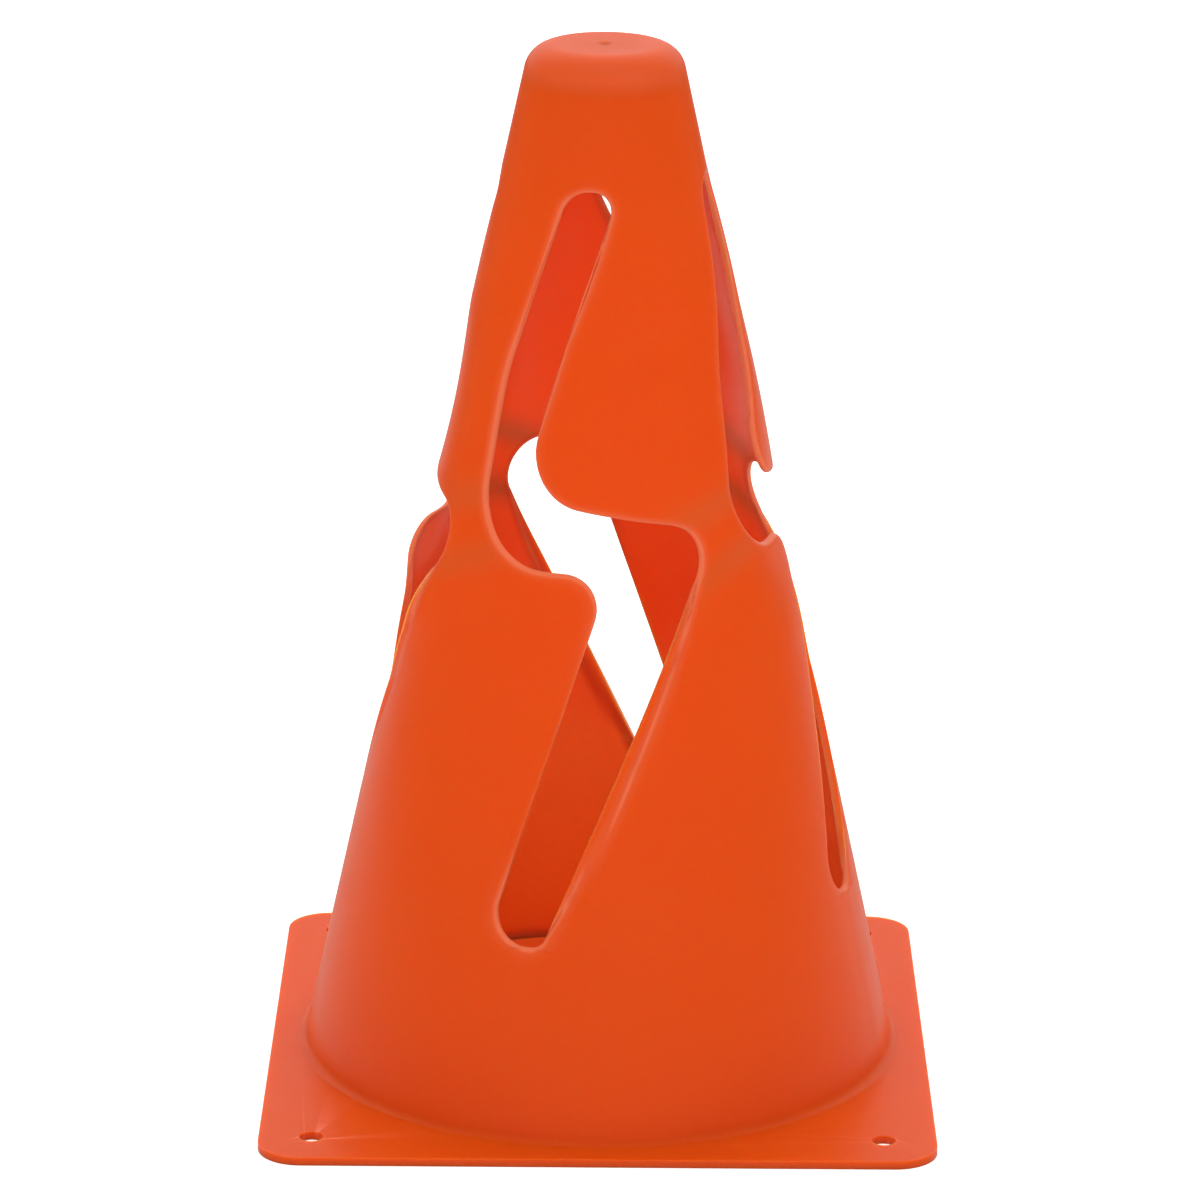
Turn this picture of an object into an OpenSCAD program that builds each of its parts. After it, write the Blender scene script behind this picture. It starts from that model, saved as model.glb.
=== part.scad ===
// Collapsible sports marker cone, moulded in one soft shot.
// Origin on the floor under the middle of the base, +Z up, millimetres.
// Front is -Y. Four S-shaped slots leave the crown hanging on four short straps, so it
// sinks into the skirt when it is stepped on and springs back.

/* [Cone] */
// Height from the floor to the flat top
height = 230; // [220:1:240]
// Outer radius of the cone where it meets the top of the base plate
foot_r = 66.3; // [62:0.1:68]
// Outer radius of the cone carried on to the height of the flat top
tip_r = 16.3; // [14:0.1:20]
// Thickness of the moulded wall
wall_t = 1.7; // [1.2:0.1:2]
// Radius of the rounded foot where the cone runs out on the plate
foot_fillet = 2; // [0.5:0.1:4]

/* [Top cap] */
// Height of the closed cap above the crown
cap_h = 8; // [6:0.5:10]
// Thickness of the flat top
cap_t = 1.8; // [1.2:0.1:2.4]
// Radius of the rounded shoulder
shoulder_r = 3.5; // [2.5:0.1:6]
// Radius inside the shoulder
shoulder_in_r = 2; // [1:0.1:3]
// Diameter of the gate mark in the flat top
gate_d = 4.4; // [2:0.1:6]
// Depth of the gate mark
gate_deep = 0.4; // [0.2:0.1:0.8]

/* [Base plate] */
// How far the square base plate reaches beyond the cone's foot in the middle of a side
base_margin = 7.2; // [5:0.1:12]
// Thickness of the base plate
base_t = 1.9; // [1.4:0.1:3]
// Radius of the plate's corners
base_corner_r = 9.5; // [6:0.5:14]
// Distance from a corner hole's centre to the two nearest sides of the plate
hole_inset = 11.5; // [9:0.1:14]
// Diameter of the corner holes
hole_d = 5.2; // [4:0.1:6]

/* [Slots] */
// Height of the slots' lower ends above the floor
slot_low = 41; // [36:1:48]
// Distance from the slots' upper ends to the flat top
slot_top_gap = 26; // [20:1:32]
// Width of one slot along the wall, from the corner of its left knee to that of its right
slot_w = 57.6; // [52:0.1:60]

/* [Straps] */
// Length of a strap, from the skirt to the crown
strap_l = 13; // [9:0.5:14]

/* [Hidden] */
$fn = 96;

// How far a cutter runs past the faces that it cuts
over = 1;
// Four slots, one on each side of the square base
slot_count = 4;
pitch_deg = 360 / slot_count;
straight_deg = 180;
// Steps in the round of a slot corner, in a straight run between two corners, and in the
// round of a turned edge
corner_steps = 6;
run_steps = 3;
edge_steps = 8;
// How far inside and outside the wall a slot's cutter reaches, as shares of its radius
reach_in_share = 0.8;
reach_out_share = 1.2;

// Corners of one slot, top to bottom, seen from outside. Each is [place along the wall
// from the slot's own middle line, height above the slot's lower end, corner radius]:
// the place and the radius are shares of slot_w and the height is a share of slot_h.
left_shares = [
    [-0.125, 1.002, 0.121],
    [-0.397, 0.745, 1.267],
    [-0.536, 0.502, 0.252],
    [0.042, 0.498, 0.137],
    [-0.450, 0.010, 0.118]
];
right_shares = [
    [0.066, 0.998, 0.070],
    [-0.140, 0.793, 1.045],
    [-0.324, 0.595, 0.201],
    [0.464, 0.549, 0.154],
    [-0.223, 0.012, 0.063]
];

// Height of the gap between crown and skirt, as a share of slot_h above the slot's
// lower end
part_share = 0.540;
// How far the cutter of a strap runs to each side of the strap's middle
strap_reach = 14;

base_w = 2 * (foot_r + base_margin);
hole_pitch = base_w - 2 * hole_inset;
slot_h = height - slot_top_gap - slot_low;
cap_z = height - cap_h;
part_z = slot_low + slot_h * part_share;
// Middles of the rounds of a slot's right knee and of the next slot's left knee, both
// along the wall from the first slot's middle line
right_knee = side_middle(right_shares, 3);
next_left_knee = side_middle(left_shares, 2) + [pitch_deg * wall_r(part_z) * PI / straight_deg, 0];
// The neck lies across the line between them, and its middle halfway between the rounds
neck_line = next_left_knee - right_knee;
neck_tilt = atan2(neck_line.y, neck_line.x);
neck_w = norm(neck_line) - (right_shares[3].z + left_shares[2].z) * slot_w;
neck = right_knee + neck_line / norm(neck_line) * (right_shares[3].z * slot_w + neck_w / 2);

// Outer radius of the cone at a height
function wall_r(z) = foot_r - (foot_r - tip_r) * (z - base_t) / (height - base_t);

// Angle round the axis that a length along the wall takes at a height
function wall_deg(along, z) = along / wall_r(z) * straight_deg / PI;

// Place in space of a point given along the wall and in height, at a share of the radius
function wall_point(p, share) =
    let (r = wall_r(p.y), a = wall_deg(p.x, p.y))
    [share * r * sin(a), -share * r * cos(a), p.y];

// Middle of the round of radius r in the corner at b between a and c
function round_middle(a, b, c, r) =
    let (to_a = (a - b) / norm(a - b),
         to_c = (c - b) / norm(c - b))
    b + (to_a + to_c) / norm(to_a + to_c) * r / sin(acos(to_a * to_c) / 2);

// Points of that round
function round_corner(a, b, c, r, steps) =
    let (to_a = (a - b) / norm(a - b),
         to_c = (c - b) / norm(c - b),
         half = acos(to_a * to_c) / 2,
         middle = round_middle(a, b, c, r),
         from = b + to_a * r / tan(half) - middle,
         to = b + to_c * r / tan(half) - middle,
         sweep = straight_deg - 2 * half,
         turn = sign(from.x * to.y - from.y * to.x))
    [for (i = [0:steps])
        let (w = turn * sweep * i / steps)
        middle + [from.x * cos(w) - from.y * sin(w), from.x * sin(w) + from.y * cos(w)]];

// A slot corner in millimetres from its shares
function slot_corner(share) = [share.x * slot_w, slot_low + share.y * slot_h];

// Middle of the round at one corner of a slot's side, not at the side's ends
function side_middle(shares, i) =
    round_middle(slot_corner(shares[i - 1]), slot_corner(shares[i]),
                 slot_corner(shares[i + 1]), shares[i].z * slot_w);

// One side of a slot as a chain of rounded corners and straight runs, from its upper
// end, whose edge comes from the point first, to its lower end, which leads to last
function slot_side(shares, first, last) =
    let (n = len(shares),
         c = [first, for (s = shares) slot_corner(s), last],
         rounds = [for (i = [0:n - 1])
             round_corner(c[i], c[i + 1], c[i + 2], shares[i].z * slot_w, corner_steps)])
    [for (i = [0:n - 1])
        each i == n - 1 ? rounds[i] : concat(rounds[i],
            [for (k = [1:run_steps - 1])
                let (f = k / run_steps)
                rounds[i][corner_steps] * (1 - f) + rounds[i + 1][0] * f])];

// The wall between two heights
module wall(low, high) {
    rotate_extrude()
        polygon([
            [wall_r(low) - wall_t, low],
            [wall_r(low), low],
            [wall_r(high), high],
            [wall_r(high) - wall_t, high]
        ]);
}

// Block that holds one strap: it lies square to the wall, across the neck
module strap_block(i) {
    rotate([0, 0, i * pitch_deg + wall_deg(neck.x, neck.y)])
        translate([0, -wall_r(neck.y), neck.y])
            rotate([0, -neck_tilt, 0])
                cube([2 * strap_reach, 2 * strap_reach, strap_l], center = true);
}

// Cutter for the front slot: its two sides are rungs of a ladder, inside and outside
module slot_cutter() {
    left = slot_side(left_shares, slot_corner(right_shares[0]), slot_corner(right_shares[4]));
    right = slot_side(right_shares, slot_corner(left_shares[0]), slot_corner(left_shares[4]));
    n = len(left);
    points = [
        for (p = left) wall_point(p, reach_out_share),
        for (p = right) wall_point(p, reach_out_share),
        for (p = left) wall_point(p, reach_in_share),
        for (p = right) wall_point(p, reach_in_share)
    ];
    faces = [
        for (i = [0:n - 2]) each [
            [i, n + i, i + 1],
            [n + i, n + i + 1, i + 1],
            [2 * n + i, 2 * n + i + 1, 3 * n + i],
            [3 * n + i, 2 * n + i + 1, 3 * n + i + 1],
            [i, i + 1, 2 * n + i],
            [2 * n + i, i + 1, 2 * n + i + 1],
            [n + i, 3 * n + i, n + i + 1],
            [3 * n + i, 3 * n + i + 1, n + i + 1]
        ],
        [0, 2 * n, n],
        [n, 2 * n, 3 * n],
        [n - 1, 2 * n - 1, 3 * n - 1],
        [3 * n - 1, 2 * n - 1, 4 * n - 1]
    ];
    polyhedron(points, faces);
}

// The slots on all four sides
module slots() {
    for (i = [0:slot_count - 1])
        rotate([0, 0, i * pitch_deg])
            slot_cutter();
}

// Closed cap: a flat disc with a rounded shoulder, with the gate mark in its middle
module top_cap() {
    side = [wall_r(cap_z), cap_z];
    inside = [wall_r(cap_z) - wall_t, cap_z];
    corner = [tip_r, height];
    inner_top = height - cap_t;
    inner_corner = [wall_r(inner_top) - wall_t, inner_top];
    color("OrangeRed")
        difference() {
            rotate_extrude()
                polygon(concat(
                    [[0, height]],
                    round_corner([0, height], corner, side, shoulder_r, edge_steps),
                    [side, inside],
                    round_corner(inside, inner_corner, [0, inner_top], shoulder_in_r, edge_steps),
                    [[0, inner_top]]
                ));
            translate([0, 0, height - gate_deep])
                cylinder(h = gate_deep + over, d = gate_d);
        }
}

// Upper cone with four hanging panels that end above the gap
module crown() {
    color("OrangeRed")
        difference() {
            wall(part_z, cap_z);
            slots();
            for (i = [0:slot_count - 1])
                strap_block(i);
        }
}

// One strap: the neck of wall left between the right knee of one slot and the left knee
// of the next
module strap(i) {
    color("Tomato")
        difference() {
            intersection() {
                wall(part_z - strap_reach, part_z + strap_reach);
                strap_block(i);
            }
            slots();
        }
}

module strap_front() {
    strap(0);
}

module strap_right() {
    strap(1);
}

module strap_rear() {
    strap(2);
}

module strap_left() {
    strap(3);
}

// Lower cone with four standing panels, and its rounded foot
module skirt() {
    foot = [foot_r, base_t];
    top = [wall_r(part_z), part_z];
    color("OrangeRed")
        difference() {
            rotate_extrude()
                polygon(concat(
                    [[wall_r(part_z) - wall_t, part_z], [foot_r - wall_t, base_t]],
                    round_corner([base_w, base_t], foot, top, foot_fillet, edge_steps),
                    [top]
                ));
            slots();
            for (i = [0:slot_count - 1])
                strap_block(i);
        }
}

// Square plate with round corners, open below the cone, with a hole in each corner
module base_plate() {
    arm = base_w / 2 - base_corner_r;
    open_r = foot_r - wall_t;
    below = (foot_r - tip_r) / (height - base_t);
    color("OrangeRed")
        difference() {
            union() {
                translate([-base_w / 2, -arm, 0])
                    cube([base_w, 2 * arm, base_t]);
                translate([-arm, -base_w / 2, 0])
                    cube([2 * arm, base_w, base_t]);
                for (x = [-arm, arm], y = [-arm, arm])
                    translate([x, y, 0])
                        cylinder(h = base_t, r = base_corner_r);
            }
            translate([0, 0, -over])
                cylinder(h = base_t + 2 * over, r1 = open_r + below * (base_t + over),
                         r2 = open_r - below * over);
            for (x = [-hole_pitch / 2, hole_pitch / 2], y = [-hole_pitch / 2, hole_pitch / 2])
                translate([x, y, -over])
                    cylinder(h = base_t + 2 * over, d = hole_d);
        }
}

top_cap();
crown();
strap_front();
strap_right();
strap_rear();
strap_left();
skirt();
base_plate();
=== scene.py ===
import math

import bpy
from mathutils import Matrix, Vector
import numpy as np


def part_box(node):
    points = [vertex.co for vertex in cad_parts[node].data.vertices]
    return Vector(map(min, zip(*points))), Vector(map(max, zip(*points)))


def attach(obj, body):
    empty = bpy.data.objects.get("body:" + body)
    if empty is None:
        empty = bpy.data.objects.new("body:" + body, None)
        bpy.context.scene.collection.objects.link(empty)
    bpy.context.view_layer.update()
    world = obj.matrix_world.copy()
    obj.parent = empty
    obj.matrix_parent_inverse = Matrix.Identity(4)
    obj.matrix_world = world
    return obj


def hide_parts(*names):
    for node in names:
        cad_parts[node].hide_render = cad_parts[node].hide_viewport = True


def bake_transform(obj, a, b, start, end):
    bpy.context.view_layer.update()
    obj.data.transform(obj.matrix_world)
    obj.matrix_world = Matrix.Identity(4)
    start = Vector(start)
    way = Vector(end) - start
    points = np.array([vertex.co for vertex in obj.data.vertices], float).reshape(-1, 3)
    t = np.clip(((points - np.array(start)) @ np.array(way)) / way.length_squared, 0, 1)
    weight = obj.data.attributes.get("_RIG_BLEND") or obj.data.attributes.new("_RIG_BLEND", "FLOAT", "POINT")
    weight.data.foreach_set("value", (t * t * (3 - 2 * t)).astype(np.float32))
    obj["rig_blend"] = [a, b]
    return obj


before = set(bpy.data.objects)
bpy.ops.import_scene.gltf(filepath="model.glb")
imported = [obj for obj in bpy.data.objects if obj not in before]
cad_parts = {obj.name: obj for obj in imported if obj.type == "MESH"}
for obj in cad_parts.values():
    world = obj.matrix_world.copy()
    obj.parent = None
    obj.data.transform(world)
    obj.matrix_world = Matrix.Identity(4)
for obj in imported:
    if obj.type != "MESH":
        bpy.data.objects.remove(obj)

bl_info = {
    "name": "Collapsible Marker Cone",
    "version": (1, 0, 0),
    "blender": (4, 5, 0),
    "location": "View3D > Sidebar > Marker Cone",
    "description": "Builds a soft moulded marker cone with S-shaped slots on its stage",
    "category": "Object",
}

MM = 0.001
# Points closer together than this are one point
TINY = 0.01 * MM
# A face is level if the upright part of its normal is more than this
LEVEL = 0.99999
# Edges whose faces meet at more than this stay sharp
SHARP_FROM = math.radians(40)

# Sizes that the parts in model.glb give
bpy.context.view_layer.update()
BASE_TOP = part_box("base_plate")[1][2]
BASE_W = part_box("base_plate")[1][0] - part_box("base_plate")[0][0]
CAP_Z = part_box("top_cap")[0][2]
CAP_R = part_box("top_cap")[1][0]
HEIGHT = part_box("top_cap")[1][2]

# The cone's outer radius falls in a straight line from the plate to the top
FOOT_R = 66.3 * MM
SLOPE = (FOOT_R - CAP_R) / (CAP_Z - BASE_TOP)
SLOTS = 4
PITCH = 2 * math.pi / SLOTS

# A slot's ends and width, and the corners of its two sides from top to bottom. Each is
# (place along the wall / width, height above the lower end / height, radius / width).
SLOT_LOW = 41 * MM
SLOT_TOP_GAP = 26 * MM
SLOT_H = HEIGHT - SLOT_TOP_GAP - SLOT_LOW
SLOT_W = 57.6 * MM
LEFT_SHARES = [(-0.138, 0.990, 0.121), (-0.397, 0.745, 1.267), (-0.536, 0.502, 0.252),
               (0.034, 0.49806, 0.125), (-0.450, 0.010, 0.118)]
RIGHT_SHARES = [(0.056, 0.988, 0.070), (-0.140, 0.793, 1.045), (-0.324, 0.595, 0.201),
                (0.464, 0.549, 0.154), (-0.223, 0.012, 0.063)]
# Which corner of a side is its knee at a strap, which one of the left side is the free
# corner of the standing panel, and which one of the right side that of the hanging panel
LEFT_KNEE = 2
RIGHT_KNEE = 3
FREE_CORNER = 3
HANGING_CORNER = 2
# Height of the gap between crown and skirt / height of the slot, the straps' length, and
# how far to each side of a strap's middle its ends are looked for
PART_SHARE = 0.540
STRAP_L = 13 * MM
STRAP_REACH = 14 * MM
# A slot edge that lies further than this above or below a spot is not near it
GAP_REACH = 2 * MM

# Where the soft panels stand off the plain cone after they have been pressed and sprung
# back: angle and height of the middle, how the angle changes with height, how far it
# reaches up and down and to each side, and how far it stands out in each quarter of the
# wall, the front right, rear right, rear left and front left one
SPRINGS = (
    # The hanging panel's edge above the strap
    (math.radians(50), 160 * MM, math.radians(0.20) / MM, 44 * MM, 16 * MM,
     (3.1 * MM, 3.1 * MM, 0.3 * MM, 0.8 * MM)),
    # The standing panel's edge below the strap
    (math.radians(23), 110 * MM, math.radians(0.75) / MM, 22 * MM, 12 * MM,
     (0.0, 1.8 * MM, 1.8 * MM, 1.8 * MM)),
    # The standing panel's free corner
    (math.radians(92), 118 * MM, 0.0, 16 * MM, 15 * MM,
     (0.1 * MM, 1.0 * MM, 3.4 * MM, 0.2 * MM)),
    # The standing panel's upper edge between the corner and the strap
    (math.radians(75), 118 * MM, 0.0, 16 * MM, 12 * MM,
     (-1.0 * MM, 0.0, -3.4 * MM, 0.0)),
    # The hanging panel's free corner
    (math.radians(-8), 148 * MM, 0.0, 26 * MM, 15 * MM,
     (0.0, 0.8 * MM, 0.0, -1.5 * MM)),
)

# Where the rear slot's upper end is set aside: angle and height of the middle, how far it
# reaches up and down and to each side, and how far the wall is moved along itself
ASIDE = (math.radians(182), 194 * MM, 24 * MM, 8 * MM, 1.6 * MM)

# Columns of faces across a quarter of the wall, and how far from a slot's edge the first
# ones lie, so that the edge can be rounded
COLUMNS = 38
GRADES = (0.06 * MM, 0.20 * MM, 0.45 * MM, 0.85 * MM, 1.40 * MM)
# Steps in the round of a slot's corner, steps in which a side is searched for a height and
# for a strap's end, and passes that make the strap's end flat
CORNER_STEPS = 14
HEIGHT_STEPS = 400
CROSSING_STEPS = 3000
FLAT_PASSES = 8
# Heights at which the rows of a hanging and of a standing panel begin to fan out
CROWN_FAN_Z = 160 * MM
SKIRT_FAN_Z = 90 * MM
# Rows of faces in each part of the wall
RING_ROWS = 8
CROWN_ROWS = (12, 34, 30)
STRAP_ROWS = 12
SKIRT_ROWS = (26, 46, 12)
FOOT_ROWS = 18
FILLET_ROWS = 7
# Rows next to a strap that are bent to run into its flat end
SLIDE_ROWS = 6
# Rings in the cap's shoulder and in its gate mark
SHOULDER_STEPS = 10
GATE_STEPS = 8
# Faces in the round of the plate's corners, of its holes and of its soft edges
CORNER_SEGMENTS = 14
HOLE_SIDES = 48
EDGE_SEGMENTS = 3
# Rounding of the slots' inner edges
INNER_EDGE = 0.25 * MM
# The round inside the shoulder: its reach, and how far its middle ring lies off the corner
INNER_ROUND = 2 * MM
INNER_CUT = 0.6 * MM

# Layers of numbers on the pieces that the plastic reads: how near a spot is to a thin edge,
# where a highlight is painted, how strongly it shows the painted glow of light from outside,
# and how much it has been bent
LAYERS = ("rim", "inside", "bend")
# Width of the rim painted paler as a highlight, share of it from which the painted pale
# highlight line begins, how much of the light the skin of the edges keeps out, and how pale
# the painted sheen on the shoulder is
HIGHLIGHT_RIM_REACH = 2.2 * MM
HIGHLIGHT_LINE_FROM = 0.7
EDGE_SKIN = 0.85
SHOULDER_PAINTED_SHEEN = 0.65
# Heights between which the painted glow of the inner side falls to its share at the top
PAINTED_GLOW_FROM = 45 * MM
PAINTED_GLOW_TO = 95 * MM
PAINTED_GLOW_TOP = 0.3
# Length over which the plastic at a strap's ends is dull from bending
BEND_REACH = 5 * MM

# The plastic: width of the melt's weak clouds and how dark they are, width of the patches
# rubbed dull, the part of their pattern that counts, and the roughness of clean and of
# rubbed places
CLOUD_W = 40 * MM
CLOUD_SHADE = 0.95
RUB_W = 12 * MM
RUB_FROM = 0.3
RUB_TO = 0.7
CLEAN_ROUGH = 0.29
RUBBED_ROUGH = 0.34
# Its refraction and reflection, the share of light that passes into the wall, and how
# deep the red, green and blue of it go
PLASTIC_IOR = 1.5
PLASTIC_SPECULAR = 0.3
LIGHT_SHARE = 0.9
LIGHT_DEPTH = 5 * MM
LIGHT_REACH = (1.0, 0.75, 0.3)

# Light: the lamps' names, places in metres, widths in metres and power in watts
LAMPS = (("key", (-1.6, -1.6, 2.0), 1.8, 17.5),
         ("fill", (1.8, -1.4, 1.5), 1.8, 14.0),
         ("rear", (0.0, 2.4, 1.2), 3.6, 60.0),
         ("overhead", (0.0, -0.5, 2.0), 1.4, 6.5))
LAMP_AIM = Vector((0, 0, 0.1))
# Light of the room in front of the cone and of the white sweep behind it, as a matt and
# as a glossy surface sees them. The room turns into the sweep between two shares of the
# way towards the sweep's middle, which lies behind the cone and a little up.
ROOM_LIGHT = 0.54
SWEEP_LIGHT = 1.2
ROOM_GLOSS = 0.05
SWEEP_GLOSS = 0.58
SWEEP_FROM = 0.3
SWEEP_TO = 1.0
SWEEP_UP = math.radians(25)
SWEEP_AIM = (0.0, math.cos(SWEEP_UP), math.sin(SWEEP_UP))
# Width of the floor in metres, and how much brighter the camera sees it
STAGE_W = 30
STAGE_LIFT = 0.35
# Half width in metres at which the white paper that gloss sees on the floor begins and
# ends to fade, and how bright it is
PAPER_FROM = 0.3
PAPER_TO = 0.6
PAPER_GLOSS = 0.5

# Camera of the photograph: width of the picture in pixels and of the sensor in
# millimetres, focal length in pixels, place in metres, and how far it looks down and leans
IMAGE_PX = 1200
SENSOR = 36
CAMERA_F_PX = 5781
CAMERA_PLACE = (-0.0003, -1.21808, 0.49670)
CAMERA_PITCH = math.radians(17.85)
CAMERA_ROLL = math.radians(0.4)


def linear(code):
    """Linear colour of an sRGB hex value."""
    parts = [int(code[i:i + 2], 16) / 255 for i in (1, 3, 5)]
    return tuple(c / 12.92 if c <= 0.04045 else ((c + 0.055) / 1.055) ** 2.4 for c in parts)


class ConeSizes(bpy.types.PropertyGroup):
    wall: bpy.props.FloatProperty(
        name="Wall", description="Thickness of the moulded wall",
        default=1.7 * MM, min=1.2 * MM, max=2.4 * MM, unit="LENGTH", precision=4)
    edge_radius: bpy.props.FloatProperty(
        name="Edge radius", description="Rounding of the slots' outer edges",
        default=1.3 * MM, min=0.3 * MM, max=1.4 * MM, unit="LENGTH", precision=4)
    foot_fillet: bpy.props.FloatProperty(
        name="Foot fillet", description="Radius where the cone runs out on the plate",
        default=2 * MM, min=0.5 * MM, max=4 * MM, unit="LENGTH", precision=4)
    shoulder: bpy.props.FloatProperty(
        name="Shoulder", description="Radius of the cap's rounded shoulder",
        default=6.2 * MM, min=3 * MM, max=6.5 * MM, unit="LENGTH", precision=4)
    cap: bpy.props.FloatProperty(
        name="Cap", description="Thickness of the flat top",
        default=1.8 * MM, min=1.2 * MM, max=2.4 * MM, unit="LENGTH", precision=4)
    gate: bpy.props.FloatProperty(
        name="Gate mark", description="Diameter of the gate mark in the flat top",
        default=4.4 * MM, min=2 * MM, max=6 * MM, unit="LENGTH", precision=4)
    gate_deep: bpy.props.FloatProperty(
        name="Gate depth", description="Depth of the gate mark",
        default=0.4 * MM, min=0.2 * MM, max=0.8 * MM, unit="LENGTH", precision=4)
    base_corner: bpy.props.FloatProperty(
        name="Base corner", description="Radius of the plate's corners",
        default=9.5 * MM, min=6 * MM, max=14 * MM, unit="LENGTH", precision=4)
    base_edge: bpy.props.FloatProperty(
        name="Base edge", description="Rounding of the plate's rim and of its holes",
        default=0.35 * MM, min=0.1 * MM, max=0.8 * MM, unit="LENGTH", precision=4)
    hole_pitch: bpy.props.FloatProperty(
        name="Hole pitch", description="Distance between two neighbouring corner holes",
        default=124 * MM, min=118 * MM, max=128 * MM, unit="LENGTH", precision=4)
    hole: bpy.props.FloatProperty(
        name="Hole", description="Diameter of the corner holes",
        default=5.2 * MM, min=4 * MM, max=6 * MM, unit="LENGTH", precision=4)


class ConeColours(bpy.types.PropertyGroup):
    plastic: bpy.props.FloatVectorProperty(
        name="Plastic", description="Colour of the moulded plastic", subtype="COLOR",
        size=3, min=0, max=1, default=linear("#E0500C"))
    # Painted glow: the inner side is painted lighter to stand in for light that comes through the wall
    inner: bpy.props.FloatVectorProperty(
        name="Inner side", description="Colour of the wall's inner side, which shows the "
        "light that has come through", subtype="COLOR",
        size=3, min=0, max=1, default=linear("#FF965C"))
    # Painted highlight: the thin cut edges are painted paler for the light they catch and carry
    rim: bpy.props.FloatVectorProperty(
        name="Rim", description="Colour of the thin cut edges, which carry light",
        subtype="COLOR", size=3, min=0, max=1, default=linear("#E4582A"))
    # Painted highlight: a pale line painted on the thinnest part of the edges
    line: bpy.props.FloatVectorProperty(
        name="Edge line", description="Colour of the thinnest part of the edges",
        subtype="COLOR", size=3, min=0, max=1, default=linear("#EE744C"))
    floor: bpy.props.FloatVectorProperty(
        name="Floor", description="Colour of the stage", subtype="COLOR",
        size=3, min=0, max=1, default=linear("#FBFBFB"))
    # Painted light: the floor inside the cone is painted orange for light that has come through the orange
    # walls
    shade: bpy.props.FloatVectorProperty(
        name="Floor under the cone", description="Colour of the floor inside the cone, where "
        "all light has come through orange walls", subtype="COLOR",
        size=3, min=0, max=1, default=linear("#F05A20"))


# The wall as a plan: places along it and heights
def wall_r(z):
    """Outer radius of the plain cone at a height."""
    return FOOT_R - SLOPE * (z - BASE_TOP)


def corner_point(share):
    """Place along the wall and height of a slot's corner from its shares."""
    return Vector((share[0] * SLOT_W, SLOT_LOW + share[1] * SLOT_H))


def round_middle(a, b, c, radius):
    """Middle of the round in the corner at b between a and c."""
    to_a = (a - b).normalized()
    to_c = (c - b).normalized()
    return b + (to_a + to_c).normalized() * radius / math.sin(to_a.angle(to_c) / 2)


def round_points(a, b, c, radius):
    """Points of the round in the corner at b between a and c."""
    to_a = (a - b).normalized()
    to_c = (c - b).normalized()
    half = to_a.angle(to_c) / 2
    middle = round_middle(a, b, c, radius)
    start = b + to_a * radius / math.tan(half) - middle
    end = b + to_c * radius / math.tan(half) - middle
    sweep = math.copysign(math.pi - 2 * half, start.x * end.y - start.y * end.x)
    points = []
    for i in range(CORNER_STEPS + 1):
        w = sweep * i / CORNER_STEPS
        points.append(middle + Vector((start.x * math.cos(w) - start.y * math.sin(w),
                                       start.x * math.sin(w) + start.y * math.cos(w))))
    return points


class Side:
    """One side of a slot, from the middle of its upper end to the middle of its lower
    end, measured along its own length."""

    def __init__(self, shares, other):
        self.corners = [corner_point(s) for s in (other[0], *shares, other[-1])]
        self.rounds = [round_points(*self.corners[i:i + 3], share[2] * SLOT_W)
                       for i, share in enumerate(shares)]

    def close(self, other):
        """Adds the ends, which lie midway between this side's rounds and the other's."""
        top = (self.rounds[0][0] + other.rounds[0][0]) / 2
        low = (self.rounds[-1][-1] + other.rounds[-1][-1]) / 2
        self.points = [top]
        self.marks = []
        for points in self.rounds:
            self.marks.append((len(self.points), len(self.points) + CORNER_STEPS))
            self.points += points
        self.points.append(low)
        self.lengths = [0.0]
        for a, b in zip(self.points, self.points[1:]):
            self.lengths.append(self.lengths[-1] + (b - a).length)

    def at(self, length):
        """Point at a length along the side."""
        i = 1
        while i < len(self.points) - 1 and length > self.lengths[i]:
            i += 1
        span = self.lengths[i] - self.lengths[i - 1]
        share = (length - self.lengths[i - 1]) / span if span > 0 else 0
        return self.points[i - 1].lerp(self.points[i], min(max(share, 0), 1))

    def start_of_round(self, i):
        """Length at which a corner's round starts."""
        return self.lengths[self.marks[i][0]]

    def end_of_round(self, i):
        """Length at which a corner's round ends."""
        return self.lengths[self.marks[i][1]]

    def middle_of_round(self, i):
        """Length at which the middle of a corner's round lies."""
        return (self.start_of_round(i) + self.end_of_round(i)) / 2

    def at_height(self, z, first, last):
        """Length at which the side passes a height, between two lengths."""
        best = min(range(HEIGHT_STEPS + 1),
                   key=lambda k: abs(self.at(first + (last - first) * k / HEIGHT_STEPS).y - z))
        return first + (last - first) * best / HEIGHT_STEPS


LEFT = Side(LEFT_SHARES, RIGHT_SHARES)
RIGHT = Side(RIGHT_SHARES, LEFT_SHARES)
LEFT.close(RIGHT)
RIGHT.close(LEFT)


def spot(point, turn=0.0):
    """Angle round the axis and height of a point given along the wall and in height."""
    return Vector((point.x / wall_r(point.y) + turn, point.y))


# The two slot edges that border a quarter of the wall
BORDERS = ([spot(p) for p in RIGHT.points], [spot(p, PITCH) for p in LEFT.points])


def gap_to_slot(at):
    """Distance along the wall from a spot to the nearest slot edge, infinite where no edge
    is near."""
    r = wall_r(at.y)
    nearest = math.inf
    for border in BORDERS:
        for a, b in zip(border, border[1:]):
            if not min(a.y, b.y) - GAP_REACH <= at.y <= max(a.y, b.y) + GAP_REACH:
                continue
            run = Vector(((b.x - a.x) * r, b.y - a.y))
            off = Vector(((at.x - a.x) * r, at.y - a.y))
            share = off.dot(run) / run.length_squared if run.length_squared > 0 else 0
            nearest = min(nearest, (off - run * min(max(share, 0), 1)).length)
    return nearest


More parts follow.
